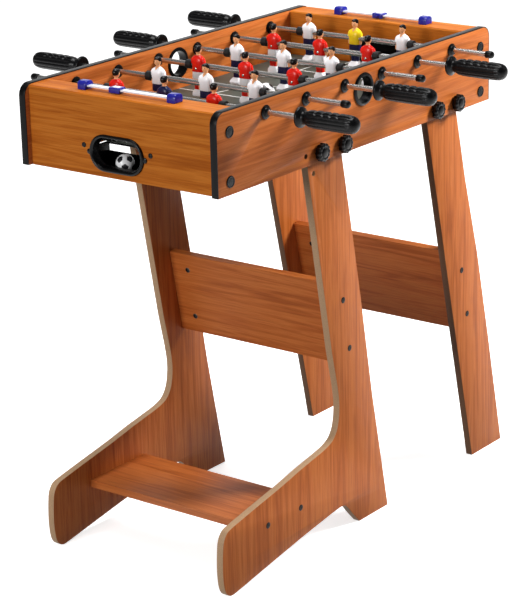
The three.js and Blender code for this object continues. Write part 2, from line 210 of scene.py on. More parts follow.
BLUE = plastic("score_blue_plastic", (0.011, 0.014, 0.27), 0.24, spec=0.4)
STRIP = plastic("score_white_strip", (0.74, 0.76, 0.84), 0.3)
BALL_WHITE = plastic("ball_white_plastic", (0.90, 0.90, 0.91), 0.25, tint=0.97)
BALL_DARK = plastic("ball_black_patch", (0.015, 0.015, 0.018), 0.25)


def playfield_material():
    m, nt, bsdf = new_material("playfield_print")
    tc = nt.nodes.new("ShaderNodeTexCoord")
    sep = nt.nodes.new("ShaderNodeSeparateXYZ")
    nt.links.new(tc.outputs["Object"], sep.inputs[0])

    def math_node(op, a, b=None, c=None):
        n = nt.nodes.new("ShaderNodeMath")
        n.operation = op
        for s, v in zip(n.inputs, (a, b, c)):
            if v is None:
                continue
            if isinstance(v, (int, float)):
                s.default_value = v
            else:
                nt.links.new(v, s)
        return n.outputs[0]

    x = math_node("SUBTRACT", sep.outputs["X"], (PANEL_L / 2 - X0) / 1000)
    y = sep.outputs["Y"]
    ax, ay = math_node("ABSOLUTE", x), math_node("ABSOLUTE", y)
    r = math_node("SQRT", math_node("ADD", math_node("MULTIPLY", x, x), math_node("MULTIPLY", y, y)))
    w = 0.0016

    def line(v, at):
        return math_node("LESS_THAN", math_node("ABSOLUTE", math_node("SUBTRACT", v, at)), w)

    def both(a, b):
        return math_node("MULTIPLY", a, b)

    lines = both(line(ax, 0.0), math_node("LESS_THAN", ay, 0.1865))
    lines = math_node("MAXIMUM", lines, line(r, 0.110))
    lines = math_node("MAXIMUM", lines, both(line(ax, 0.224), math_node("LESS_THAN", ay, 0.093)))
    lines = math_node("MAXIMUM", lines, both(line(ay, 0.093), math_node("GREATER_THAN", ax, 0.224)))
    lines = math_node("MAXIMUM", lines, both(line(ax, 0.292), math_node("LESS_THAN", ay, 0.054)))
    lines = math_node("MAXIMUM", lines, both(line(ay, 0.054), math_node("GREATER_THAN", ax, 0.292)))
    lines = math_node("MAXIMUM", lines, math_node("LESS_THAN", r, 0.005))
    n = stretched_noise(nt, (1, 1, 1), 240, 4, 0.6)
    green = ramp(nt, n, [(0.3, (0.050, 0.056, 0.045)), (0.7, (0.066, 0.073, 0.058))])
    nt.links.new(mix_color(nt, lines, green, (0.62, 0.62, 0.60)), bsdf.inputs["Base Color"])
    nt.links.new(map_range(nt, n, 0.42, 0.52), bsdf.inputs["Roughness"])
    bsdf.inputs["Specular IOR Level"].default_value = 0.3
    bump(nt, bsdf, n, 0.05, 0.0002)
    return m


FIELD = playfield_material()


# ---------------------------------------------------------------- mesh helpers
def P(x, y, z):
    return Vector(((x - X0) / 1000, y / 1000, z / 1000))


class Piece:
    """Collects closed shells, in plan millimetres, each with a material."""

    def __init__(self):
        self.v, self.f, self.m, self.mats = [], [], [], []

    def mat(self, material):
        if material not in self.mats:
            self.mats.append(material)
        return self.mats.index(material)

    def rings(self, rings, material, closed=False):
        """A skin over rings of equal length; ends are capped, or joined when `closed`."""
        k, n, base = self.mat(material), len(rings[0]), len(self.v)
        for r in rings:
            self.v += [tuple(p) for p in r]
        last = len(rings) if closed else len(rings) - 1
        for i in range(last):
            a, b = base + i * n, base + ((i + 1) % len(rings)) * n
            for j in range(n):
                self.f.append((a + j, a + (j + 1) % n, b + (j + 1) % n, b + j))
                self.m.append(k)
        if not closed:
            self.f.append(tuple(base + j for j in reversed(range(n))))
            self.f.append(tuple(base + (len(rings) - 1) * n + j for j in range(n)))
            self.m += [k, k]
        return self

    def lathe(self, profile, centre, material, axis="Y", seg=32, flute=None):
        """Turned about an axis through `centre`. The profile holds [radius, distance along the axis]."""
        cx, cy, cz = centre
        rings = []
        for i, (r, t) in enumerate(profile):
            ring = []
            for j in range(seg):
                a = 2 * math.pi * j / seg
                q = r * (1 + (flute(a, r, t) if flute else 0))
                u, w = q * math.cos(a), q * math.sin(a)
                if axis == "Y":
                    ring.append((cx + w, cy + t, cz + u))
                elif axis == "X":
                    ring.append((cx + t, cy + u, cz + w))
                else:
                    ring.append((cx + u, cy + w, cz + t))
            rings.append(ring)
        return self.rings(rings, material)

    def loft(self, sections, material, n=24, mirror=1):
        """Sections are (z, centre x, half x, half y, squareness, centre y)."""
        rings = []
        for s in sections:
            z, cx, hx, hy, e = s[:5]
            cy = s[5] if len(s) > 5 else 0
            ring = []
            for j in range(n):
                a = 2 * math.pi * (j + 0.5) / n
                c, d = math.cos(a), math.sin(a)
                ring.append(
                    (
                        (cx + hx * math.copysign(abs(c) ** (2 / e), c)) * mirror,
                        cy + hy * math.copysign(abs(d) ** (2 / e), d),
                        z,
                    )
                )
            rings.append(ring if mirror > 0 else ring[::-1])
        return self.rings(rings, material)

    def board(self, outline, y0, y1, material, holes=(), plane="XZ", bevel=0.7, side=None):
        """A flat board cut from an outline, with softened edges."""
        cu = bpy.data.curves.new("cut", "CURVE")
        cu.dimensions, cu.fill_mode = "2D", "BOTH"
        for pts in [outline, *holes]:
            sp = cu.splines.new("POLY")
            sp.points.add(len(pts) - 1)
            for q, (a, b) in zip(sp.points, pts):
                q.co = (a, b, 0, 1)
            sp.use_cyclic_u = True
        cu.extrude = (y1 - y0) / 2 - bevel
        cu.bevel_depth, cu.bevel_resolution, cu.offset = bevel, 1, -bevel
        ob = bpy.data.objects.new("cut", cu)
        bpy.context.scene.collection.objects.link(ob)
        dg = bpy.context.evaluated_depsgraph_get()
        me = bpy.data.meshes.new_from_object(ob.evaluated_get(dg))
        bpy.data.objects.remove(ob)
        bpy.data.curves.remove(cu)
        mid, k, base = (y0 + y1) / 2, self.mat(material), len(self.v)
        ks = self.mat(side) if side else k
        for q in me.vertices:
            a, b, c = q.co
            self.v.append((a, mid - c, b) if plane == "XZ" else (mid + c, a, b) if plane == "YZ" else (a, b, mid + c))
        for p in me.polygons:
            self.f.append(tuple(base + i for i in p.vertices))
            self.m.append(k if abs(p.normal[2]) > 0.8 else ks)
        bpy.data.meshes.remove(me)
        return self

    def block(self, x0, x1, y0, y1, z0, z1, material, bevel=0.8):
        return self.board([(x0, z0), (x1, z0), (x1, z1), (x0, z1)], y0, y1, material, bevel=bevel)

    def add(self, other, dx=0, dy=0, dz=0):
        base = len(self.v)
        self.v += [(x + dx, y + dy, z + dz) for x, y, z in other.v]
        for f, m in zip(other.f, other.m):
            self.f.append(tuple(base + i for i in f))
            self.m.append(self.mat(other.mats[m]))
        return self

    def make(self, name, body, replaces=(), slot=None, angle=38):
        me = bpy.data.meshes.new(name)
        me.from_pydata([P(*q) for q in self.v], [], self.f)
        for m in self.mats:
            me.materials.append(m)
        for p, m in zip(me.polygons, self.m):
            p.material_index = m
            p.use_smooth = True
        bm = bmesh.new()
        bm.from_mesh(me)
        bmesh.ops.remove_doubles(bm, verts=bm.verts, dist=2e-6)
        bmesh.ops.dissolve_degenerate(bm, edges=bm.edges, dist=1e-6)
        bmesh.ops.recalc_face_normals(bm, faces=bm.faces)
        bm.to_mesh(me)
        bm.free()
        me.set_sharp_from_angle(angle=math.radians(angle))
        ob = bpy.data.objects.new(name, me)
        bpy.context.scene.collection.objects.link(ob)
        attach(ob, body)
        if replaces:
            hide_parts(*replaces)
        return ob


def arc(cx, cz, r, a0, a1, n=8):
    return [(cx + r * math.cos(math.radians(a0 + (a1 - a0) * i / n)), cz + r * math.sin(math.radians(a0 + (a1 - a0) * i / n))) for i in range(n + 1)]


def hole(x, z, r, n=24):
    return [(x + r * math.cos(2 * math.pi * i / n), z - r * math.sin(2 * math.pi * i / n)) for i in range(n)]


def smooth(points, sharp=33, n=4):
    """Rounds a polyline into a curve through its points, keeping corners sharper than `sharp` degrees."""
    c, out = len(points), []
    V = [Vector(p) for p in points]

    def turn(i):
        a, b = V[i] - V[i - 1], V[(i + 1) % c] - V[i]
        return abs(math.degrees(a.angle_signed(b))) if a.length and b.length else 0

    corner = [turn(i) > sharp for i in range(c)]
    for i in range(c):
        p0, p1, p2, p3 = V[i - 1], V[i], V[(i + 1) % c], V[(i + 2) % c]
        seg = (p2 - p1).length
        straight = seg > 60 or (turn(i) < 3 and turn((i + 1) % c) < 3)
        out.append(tuple(p1))
        if straight:
            continue
        t1 = (p2 - p1) if corner[i] else (p2 - p0) * (seg / max(1e-6, (p1 - p0).length + seg))
        t2 = (p2 - p1) if corner[(i + 1) % c] else (p3 - p1) * (seg / max(1e-6, (p3 - p2).length + seg))
        for k in range(1, n):
            t = k / n
            h = (2 * t**3 - 3 * t * t + 1) * p1 + (t**3 - 2 * t * t + t) * t1 + (-2 * t**3 + 3 * t * t) * p2 + (t**3 - t * t) * t2
            out.append(tuple(h))
    return out


# ---------------------------------------------------------------- cabinet
def panel_outline(grow=0.0, r=18.5):
    a, b, z = 1.5 - grow, PANEL_L - 1.5 + grow, 800.5 + grow
    r += grow
    return [(a, 669), (b, 669)] + arc(b - r, z - r, r, 0, 90, 10) + arc(a + r, z - r, r, 90, 180, 10)


rod_holes = [hole(x, ROD_Z, 5.2, 20) for x in ROD_X]
for side, nm in ((-1, "right"), (1, "left")):
    y0, y1 = sorted((side * INNER, side * OUTER))
    holes = rod_holes + [hole(*SERVE, 23, 40), hole(*STOW, 4.2, 20)]
    holes += [hole(*c, 4.4, 16) for c in (PIVOT_FRONT, LOCK_FRONT, PIVOT_REAR, LOCK_REAR)]
    Piece().board(panel_outline(), y0, y1, WOOD_PANEL, holes, bevel=0.4).make(
        f"side_panel_{nm}_board", "cabinet", [f"side_panel_{nm}"], "cherry_panel"
    )
    # edge moulding: a shallow channel over the ends and the top edge
    outer, inner = panel_outline(1.5), panel_outline(-0.15)
    band = [outer[0]] + outer[:1:-1][::-1][:0]
    up = outer[2:]
    down = inner[2:]
    band = [(PANEL_L, 669.4)] + up + [(0, 669.4), (1.65, 669.4)] + down[::-1] + [(PANEL_L - 1.65, 669.4)]
    Piece().board(band, y0 - 0.05, y1 + 0.05, TRIM, bevel=0.6).make(f"edge_moulding_{nm}", "cabinet", slot="black_plastic")

for n in ("near_end_box", "far_end_box"):
    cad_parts[n].data.materials.clear()
    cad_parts[n].data.materials.append(WOOD_END)
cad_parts["playfield"].data.materials.clear()
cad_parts["playfield"].data.materials.append(FIELD)


CUP_Y = 6.5


def half_turn(piece, do):
    """The same piece at the far end, turned half round about the upright axis."""
    if not do:
        return piece
    out = Piece()
    out.mats, out.m = piece.mats, piece.m
    out.v = [(PANEL_L - x, -y, z) for x, y, z in piece.v]
    out.f = [tuple(f) for f in piece.f]
    return out


def flip(piece, do):
    if not do:
        return piece
    out = Piece()
    out.mats, out.m = piece.mats, piece.m
    out.v = [(PANEL_L - x, y, z) for x, y, z in piece.v]
    out.f = [tuple(reversed(f)) for f in piece.f]
    return out


def stadium(hw, r, zc, n=14):
    return arc(hw - r, zc, r, -90, 90, n) + arc(-hw + r, zc, r, 90, 270, n)


def ring_loft(piece, rings, material):
    """A skin over outlines in the Y-Z plane: each is (x, half width, radius, centre z)."""
    made = [[(x, a, b) for a, b in stadium(hw, r, zc)] for x, hw, r, zc in rings]
    return piece.rings(made, material, closed=True)


def ball_cup():
    zc, p = 708.5, Piece()
    # rolled flange and mouth tube, one closed skin
    ring_loft(
        p,
        [
            (9.7, 55, 30, zc), (7.2, 55, 30, zc), (5.9, 54, 29, zc), (5.3, 52.6, 27.6, zc), (5.6, 51, 26, zc), (6.6, 49.6, 24.8, zc),
            (8.6, 48.4, 23.8, zc), (20.4, 47.4, 22.8, zc), (20.4, 48.8, 24.2, zc), (9.7, 50.2, 26.2, zc),
        ],
        BLACK,
    )
    # tray behind the panel: floor, front, ends and low back lip
    w = 1.6
    p.block(19.4, 60, -60, 60, 670.6, 672.4, BLACK, 0.3)
    p.block(19.4, 21.2, -60, 60, 670.6, 684.6, BLACK, 0.3)
    p.block(58.2, 60, -60, 60, 670.6, 698, BLACK, 0.3)
    p.block(19.4, 60, -60, -58.2, 670.6, 713.6, BLACK, 0.3)
    p.block(19.4, 60, 58.2, 60, 670.6, 713.6, BLACK, 0.3)
    p.block(52.9, 60, -60, 60, 711, 713.6, BLACK, 0.3)
    # screw ears
    for s in (-1, 1):
        p.lathe([(0, 0), (4.6, 0), (4.6, -1.6), (3.4, -2.4), (0, -2.6)], (9.7, s * 56.2, zc - 1), BLACK, "X", 20)
    p.v = [(x, y + CUP_Y, z) for x, y, z in p.v]
    return p


for nm, far in (("near", False), ("far", True)):
    half_turn(ball_cup(), far).make(f"{nm}_ball_cup_moulding", "cabinet", [f"{nm}_ball_cup"], "black_plastic")
    screws = Piece()
    for s in (-1, 1):
        screws.lathe([(0, 9.9), (4.2, 9.9), (4.2, 9.2), (3.2, 8.3), (1.6, 8.0), (1.2, 8.5), (0, 8.5)], (0, CUP_Y + s * 68, 716.5), DARK_HEAD, "X", 20)
    half_turn(screws, far).make(f"{nm}_cup_screws", "cabinet", slot="black_plastic")


# ---------------------------------------------------------------- side fittings
def serve_ring(side):
    p = Piece()
    prof = [(23.4, 0.3), (27.2, 0.3), (27.6, 0.9), (26.8, 2.4), (24.6, 3.4), (22.6, 3.2), (21.7, 2.0), (21.3, -2), (21.3, -12.4 + 0), (22.9, -12.4), (22.9, 0.3)]
    rings = []
    for r, t in prof:
        rings.append([(SERVE[0] + r * math.sin(2 * math.pi * j / 48), side * (OUTER + t), SERVE[1] + r * math.cos(2 * math.pi * j / 48)) for j in range(48)])
    p.rings(rings, BLACK, closed=True)
    # flange on the inner face
    prof = [(21.5, -12.6), (27.2, -12.6), (27.4, -13.2), (26.4, -14.4), (22.6, -14.9), (21.5, -14.2)]
    rings = [[(SERVE[0] + r * math.sin(2 * math.pi * j / 48), side * (OUTER + t), SERVE[1] + r * math.cos(2 * math.pi * j / 48)) for j in range(48)] for r, t in prof]
    return p.rings(rings, BLACK, closed=True)


def washer(p, centre, side, profile, material, seg=32):
    """A closed ring about the Y axis; the profile holds [radius, distance outwards]."""
    x, y, z = centre
    rings = [[(x + r * math.sin(2 * math.pi * j / seg), y + side * t, z + r * math.cos(2 * math.pi * j / seg)) for j in range(seg)] for r, t in profile]
    return p.rings(rings, material, closed=True)


for side, nm in ((-1, "right"), (1, "left")):
    serve_ring(side).make(f"serve_ring_{nm}", "cabinet", slot="black_plastic")
    p = Piece()
    for x in ROD_X:
        washer(p, (x, side * OUTER, ROD_Z), side, [(4.75, 0.2), (11.2, 0.2), (11.4, 1.4), (10.2, 2.6), (8.2, 3.0), (7.6, 5.4), (6.6, 6.2), (4.75, 6.2)], BLACK)
        washer(p, (x, side * INNER, ROD_Z), -side, [(4.75, 0.2), (11.2, 0.2), (11.4, 1.4), (10.2, 2.8), (8.0, 3.4), (4.75, 3.4)], BLACK)
    p.make(f"rod_bushings_{nm}", "cabinet", slot="black_plastic")
    caps = Piece()
    for x, z in ((32, 768), (31.5, 690), (747.6, 768), (749, 689)):
        washer(caps, (x, side * OUTER, z), side, [(6.9, 0.1), (9.5, 0.1), (9.7, 0.7), (9.2, 1.5), (8.3, 1.8), (7.4, 1.6), (6.9, 1.0)], BLACK)
        caps.lathe([(0, side * 0.1), (7.0, side * 0.1), (7.0, side * 1.0), (5.2, side * 1.15), (0, side * 1.2)], (x, side * OUTER, z), BLACK, "Y", 32)
    caps.make(f"corner_bolt_caps_{nm}", "cabinet", slot="black_plastic")


def knob(side, c):
    lobes = lambda a, r, t: 0.05 * math.cos(12 * a) if r > 11.5 else 0
    y = lambda t: side * t
    prof = [(0, 0.3), (9.5, 0.3), (9.5, 1.6), (13.6, 1.7), (14.6, 2.6), (14.8, 5), (14.8, 9.2), (14.2, 10.8), (12.9, 11.6), (10.4, 11.9), (9.4, 11.3), (8.6, 11.2), (7.6, 12.3), (4.6, 13.0), (0, 13.2)]
    return Piece().lathe([(r, y(t)) for r, t in prof], (c[0], side * OUTER, c[1]), BLACK, "Y", 96, lobes)


for side, nm in ((-1, "right"), (1, "left")):
    for c, which in ((PIVOT_FRONT, "front"), (PIVOT_REAR, "rear")):
        p = knob(side, c)
        p.lathe([(0, -side * 25.4), (3.9, -side * 25.4), (3.9, side * 0.4), (0, side * 0.4)], (c[0], side * OUTER, c[1]), ZINC, "Y", 20)
        p.make(f"pivot_knob_{which}_{nm}_star", f"pivot_knob_{which}_{nm}_body", [f"pivot_knob_{which}_{nm}"], "black_plastic")
    locks = Piece()
    for c in (LOCK_FRONT, LOCK_REAR):
        locks.add(knob(side, c))
        locks.lathe([(0, -side * 11.5), (3.9, -side * 11.5), (3.9, side * 0.4), (0, side * 0.4)], (c[0], side * OUTER, c[1]), ZINC, "Y", 20)
    locks.make(f"lock_knobs_{nm}", "cabinet", slot="black_plastic")


# ---------------------------------------------------------------- stands
FRONT_LEG = [
    (469, 0), (459, 50), (424.6, 220.7), (397.5, 380), (370.6, 523.7), (343.4, 664), (337.4, 695), (334, 704), (327, 710), (318, 712), (274, 712),
    (263, 709.5), (253.5, 703.5), (247, 695), (244.6, 685.5), (249, 656), (307.6, 330.5), (319.8, 276.5), (325, 249.5), (326.6, 232), (325.4, 212),
    (320.6, 193), (313.5, 181), (303.5, 172.6), (286, 166.3), (259.6, 160.9), (212.5, 152.4), (156.3, 140.5), (90.4, 128.8), (55.5, 122.4), (22.8, 115.9), (14.4, 112.9),
    (8, 107), (3.6, 99), (1.6, 90), (-0.2, 70.5), (-0.9, 44.6), (1.3, 23), (4.3, 13), (8.8, 6), (15, 1.6), (22, 0), (30, 0.7), (85.8, 9.9),
    (152.1, 20.9), (222.9, 32.2), (295.5, 42.2), (318, 45), (329, 45.6), (338.4, 43.9), (347.2, 37.3), (361.9, 20.8), (372.3, 9.8), (381.8, 0),
]
REAR_LEG = [
    (747.7, 0), (849, 0), (801.4, 218.6), (762.4, 388), (720.6, 536), (691, 661), (684.5, 688), (680.5, 700), (673, 708.5), (663, 712), (611, 712),
    (600.5, 708.5), (592.8, 701), (589.6, 692), (590.6, 684), (598.4, 657.7), (632.3, 507.4), (671.2, 334.3), (709.4, 168.5),
]


def on_line(a, b, t):
    return (a[0] + (b[0] - a[0]) * t, a[1] + (b[1] - a[1]) * t)


def brace_outline(xt, zt, xb, zb, t=13):
    dx, dz = xb - xt, zb - zt
    n = math.hypot(dx, dz)
    px, pz = -dz / n * t / 2, dx / n * t / 2
    return [(xt - px, zt - pz), (xb - px, zb - pz), (xb + px, zb + pz), (xt + px, zt + pz)]


for side, nm in ((-1, "right"), (1, "left")):
    y0, y1 = sorted((side * 174.4, side * 187.2))
    holes = [hole(*PIVOT_FRONT, 4.4, 20), hole(*LOCK_FRONT, 4.4, 20), hole(264.6, 648, 4.2, 20)]
    Piece().board(smooth(FRONT_LEG), y0, y1, WOOD_LEG, holes, bevel=0.5).make(f"front_leg_{nm}_board", "front_stand", [f"front_leg_{nm}"], "cherry_leg")
    holes = [hole(*PIVOT_REAR, 4.4, 20), hole(*LOCK_REAR, 4.4, 20)]
    Piece().board(smooth(REAR_LEG), y0, y1, WOOD_REAR_SHADED_EDGE, holes, bevel=0.5).make(f"rear_leg_{nm}_board", "rear_stand", [f"rear_leg_{nm}"], "cherry_leg")

Piece().board(brace_outline(336.2, 443, 364.6, 294), -174.1, 174.1, WOOD_BRACE, bevel=0.7).make("front_brace_board", "front_stand", ["front_brace"], "cherry_board")
Piece().board(brace_outline(701.6, 404, 737.4, 249), -174.1, 174.1, WOOD_BRACE, bevel=0.7).make("rear_brace_board", "rear_stand", ["rear_brace"], "cherry_board")
Piece().block(96, 240, -174.1, 174.1, 79.5, 92.5, WOOD_SHELF, 0.7).make("foot_shelf_board", "front_stand", ["foot_shelf"], "cherry_board")


def bolt_head(p, x, z, side, material=DARK_HEAD, r=5.4):
    """A countersunk connector bolt on the outer face of a leg."""
    y = side * 187.2
    p.lathe([(0, -side * 0.4), (r, -side * 0.4), (r, side * 0.35), (r - 0.8, side * 0.8), (2.3, side * 0.9), (2.0, side * 0.3), (0, side * 0.3)], (x, y, z), material, "Y", 24)


def barrel_nut(p, foot, direction):
    """A cross-dowel flush in a brace's face, with its plated rim."""
    d = Vector(direction).normalized()
    a = Vector((0, 1, 0))
    b = d.cross(a)
    for r, mat, lift in ((4.9, ZINC, 0.35), (3.9, BLACK, 0.7)):
        rings = []
        for rr, t in ((0.01, -0.6), (r, -0.6), (r, lift - 0.2), (r - 0.3, lift), (0.01, lift)):
            rings.append([tuple(Vector(foot) + a * (rr * math.cos(2 * math.pi * j / 24)) + b * (rr * math.sin(2 * math.pi * j / 24)) + d * t) for j in range(24)])
        p.rings(rings, mat)


front_bolts = [(341.7, 413), (358.7, 324)]
rear_bolts = [(709.9, 368), (728.9, 281)]
p, q = Piece(), Piece()
for side in (-1, 1):
    for x, z in front_bolts + [(121, 86.5), (212, 85.6)]:
        bolt_head(p, x, z, side)
    for x, z in rear_bolts:
        bolt_head(q, x, z, side)
n_f = Vector((-(443 - 294), 0, -(364.6 - 336.2))).normalized()
n_r = Vector((-(404 - 249), 0, -(737.4 - 701.6))).normalized()
for x, z in front_bolts:
    barrel_nut(p, Vector((x, 139, z)) + n_f * 6.5, n_f)
for x, z in rear_bolts:
    barrel_nut(q, Vector((x, 139, z)) + n_r * 6.5, n_r)
p.make("front_stand_bolts", "front_stand", slot="black_plastic")
q.make("rear_stand_bolts", "rear_stand", slot="black_plastic")


# ---------------------------------------------------------------- rods
def grip(side):
    s = 264.0
    prof = [
        (0, 109.9), (3, 109.7), (6.5, 108.9), (9.6, 107), (12.1, 104), (13.6, 100), (14.3, 94), (14.55, 80), (14.6, 60), (14.5, 40), (14.0, 28), (13.2, 21),
        (11.6, 17), (10.4, 14.4), (10.2, 12), (10.5, 9.4), (12.2, 7.6), (15.2, 6.2), (16.3, 4.8), (16.5, 3.2), (16.1, 1.4), (15.2, 0.5), (13.8, 0.1), (9, 0.0), (4.8, 0.0), (4.8, 3), (0, 3),
    ]

    def flute(a, r, t):
        t = abs(t)
        if not 20 < t < 104:
            return 0
        fade = min(1, (t - 20) / 4, (104 - t) / 6)
        g = (a * 12 / (2 * math.pi) + 0.5) % 1 - 0.5
        cut = -0.085 * fade * math.exp(-((g / 0.17) ** 2))
        # finger notches across the top ribs, slanting round the grip
        w = (a + math.pi) % (2 * math.pi) - math.pi
        if abs(w) < 0.95:
            for c in (33, 47, 61, 75):
                d = (t + 5.5 * w - c) / 1.8
                cut -= 0.10 * fade * math.exp(-d * d) * min(1, (0.95 - abs(w)) / 0.2)
        return cut

    fine = []
    for (r0, t0), (r1, t1) in zip(prof, prof[1:]):
        k = max(1, int(abs(t1 - t0) / 1.6))
        fine += [(r0 + (r1 - r0) * i / k, t0 + (t1 - t0) * i / k) for i in range(k)]
    fine.append(prof[-1])
    return Piece().lathe([(r, side * t) for r, t in fine], (0, side * s, 0), BLACK, "Y", 96, flute)


GRIP = {-1: grip(-1), 1: grip(1)}


def figure(shirt, shorts, thigh, sock, facing):
    p = Piece()
    m = facing
    # boots, one cut block
    p.loft([(-52.4, 0.6, 8.4, 9.0, 5), (-51.2, 1.2, 10.2, 10.2, 5), (-48.2, 1.8, 10.6, 10.4, 5), (-45.6, 1.4, 9.4, 10.2, 5), (-42.4, 0.2, 6.8, 8.4, 4), (-40.6, -0.2, 5.8, 7.2, 4)], WHITE, 24, m)
    p.loft([(-41.4, -0.2, 5.6, 7.0, 3.4), (-36, -0.6, 5.5, 7.0, 3), (-31.5, -0.6, 6.1, 7.9, 3), (-30.4, -0.6, 6.3, 8.1, 3)], sock, 24, m)
    p.loft([(-31, -0.5, 5.9, 7.6, 3), (-26, -0.4, 6.1, 8.2, 3), (-20, -0.2, 6.7, 9.4, 3)], thigh, 24, m)
    p.loft([(-22.6, -0.1, 7.3, 10.5, 3.4), (-21.8, -0.1, 7.6, 10.8, 3.4), (-14, 0, 7.4, 10.6, 3.2), (-8, 0, 7.2, 10.2, 3)], shorts, 24, m)
    # shirt
    p.loft(
        [(-10.4, 0, 7.7, 10.9, 3), (-9.6, 0, 7.9, 11.1, 3), (-3, 0.1, 7.8, 10.6, 2.8), (3, 0.3, 8.2, 11.4, 2.7), (8, 0.2, 8.2, 12.4, 2.6), (12, 0, 7.2, 11.8, 2.4), (14.8, -0.3, 5.6, 9.0, 2.2), (16.6, -0.3, 4.6, 5.8, 2), (17.6, -0.3, 4.1, 4.5, 2)],
        shirt, 28, m,
    )
    for s in (-1, 1):
        p.loft([(-1.4, 0.2, 3.0, 2.6, 2.2, s * 12.4), (-0.6, 0.2, 3.4, 2.9, 2.2, s * 12.4), (5, 0, 3.7, 3.1, 2.2, s * 11.9), (9.4, 0, 3.6, 3.4, 2.2, s * 11), (12.6, 0, 2.6, 2.8, 2.2, s * 9.8), (13.8, 0, 1.2, 1.6, 2.2, s * 9)], shirt, 16, m)
        p.loft([(-10.8, 1.0, 1.3, 1.2, 2.2, s * 11.6), (-9.4, 1.0, 2.4, 2.1, 2.2, s * 11.6), (-6.4, 0.8, 2.5, 2.1, 2.2, s * 12), (-0.8, 0.3, 2.5, 2.2, 2.2, s * 12.3)], SKIN, 16, m)
    p.loft([(16.2, -0.2, 3.9, 4.2, 2), (18.6, -0.1, 3.3, 3.3, 2), (21.6, 0.1, 3.3, 3.3, 2)], SKIN, 20, m)
    # open collar
    p.loft([(12.6, 6.7, 0.5, 0.4, 2), (14.4, 5.6, 1.0, 1.7, 2), (16.6, 3.6, 1.2, 3.0, 2), (17.6, 2.6, 1.2, 3.2, 2)], SKIN, 16, m)

    def egg(cx, cy, cz, rx, ry, rz, material, n=24, k=12):
        secs = []
        for i in range(k + 1):
            a = -math.pi / 2 + math.pi * i / k
            secs.append((cz + rz * math.sin(a), cx, max(0.02, rx * math.cos(a)), max(0.02, ry * math.cos(a)), 2, cy))
        p.loft(secs, material, n, m)

    egg(0.7, 0, 25.6, 5.9, 5.3, 7.1, SKIN)
    egg(-0.9, 0, 27.9, 6.3, 5.9, 6.2, HAIR)
    egg(3.0, 0, 31.2, 3.4, 4.4, 2.3, HAIR, 20, 8)
    egg(6.5, 0, 25.0, 0.9, 0.8, 1.5, SKIN, 12, 6)
    for s in (-1, 1):
        egg(0.4, s * 5.4, 25.4, 1.1, 0.8, 1.6, SKIN, 12, 6)
        egg(5.75, s * 2.1, 26.9, 0.5, 0.7, 0.5, HAIR, 10, 6)
    # fixing screw in the back of the waist
    q = Piece().lathe([(0, -7.2), (2.3, -7.2), (2.3, -8.4), (1.7, -8.8), (0, -8.9)], (0, 0, -4.6), CHROME, "X", 16)
    if m < 0:
        q.v = [(-x, y, z) for x, y, z in q.v]
        q.f = [tuple(reversed(f)) for f in q.f]
    p.add(q)
    return p


RED_MAN = figure(RED, WHITE, SKIN, RED, 1)
NAVY_MAN = figure(NAVY, WHITE, SKIN, RED, 1)
WHITE_MAN = figure(WHITE, NAVY, SKIN, NAVY, -1)
YELLOW_MAN = figure(YELLOW, NAVY, SKIN, NAVY, -1)

for i, x in enumerate(ROD_X):
    n, side = i + 1, (-1 if i % 2 == 0 else 1)
    body = f"rod_{n}_team"
    y0, y1 = sorted((side * 359, -side * 282))
    Piece().lathe([(0, y0), (4.1, y0), (4.5, y0 + 0.5), (4.5, y1 - 0.5), (4.1, y1), (0, y1)], (x, 0, ROD_Z), CHROME, "Y", 32).make(f"rod_{n}_steel", body, [f"rod_{n}"], "chromed_steel")
    Piece().add(GRIP[side], x, 0, ROD_Z).make(f"rod_{n}_fluted_grip", body, [f"rod_{n}_grip"], "black_grip")
    c = -side
    Piece().lathe([(0, c * 284.4), (2.6, c * 284.2), (4.6, c * 283.4), (5.8, c * 281.8), (6.3, c * 279.6), (6.3, c * 271.4), (6.0, c * 270), (5.6, c * 269.6), (4.8, c * 269.6), (4.8, c * 282.2), (0, c * 282.2)], (x, 0, ROD_Z), BLACK, "Y", 32).make(
        f"rod_{n}_domed_cap", f"rod_{n}_end", [f"rod_{n}_end_cap"], "black_grip"
    )
    stops = Piece()
    for s in (-1, 1):
        washer(stops, (x, s * 112.5, ROD_Z), s, [(4.6, 0), (7.2, 0), (7.9, 0.7), (7.9, 11), (7.2, 11.8), (4.6, 11.8)], RUBBER)
    stops.make(f"rod_{n}_rubber_stops", body, slot="black_plastic")
    for y, place in zip(MAN_Y, PLACES):
        keeper = place == "middle" and i in (0, 5)
        man = (NAVY_MAN if keeper else RED_MAN) if i % 2 == 0 else (YELLOW_MAN if keeper else WHITE_MAN)
        slot = ("navy_man" if keeper else "red_man") if i % 2 == 0 else ("yellow_man" if keeper else "white_man")
        Piece().add(man, x, y, ROD_Z).make(f"man_{n}_{place}_figure", body, [f"man_{n}_{place}"], slot)


# ---------------------------------------------------------------- score counters
def score_bar():
    p, x, z = Piece(), 38, 799.8
    hood = [(x - 10, z), (x + 10, z), (x + 10, z + 6.5)] + arc(x + 3.5, z + 7, 6.5, 0, 90, 6)[1:] + arc(x - 3.5, z + 7, 6.5, 90, 180, 6) + [(x - 10, z + 6.5)]
    for s in (-1, 1):
        a, b = sorted((s * 82.5, s * 99))
        p.board(hood, a, b, BLUE, bevel=1.0)
    p.board([(x - 5.5, z + 4.6), (x + 5.5, z + 4.6), (x + 5.5, z + 7), (x - 5.5, z + 7)], -84, 84, STRIP, bevel=0.4)
    return p


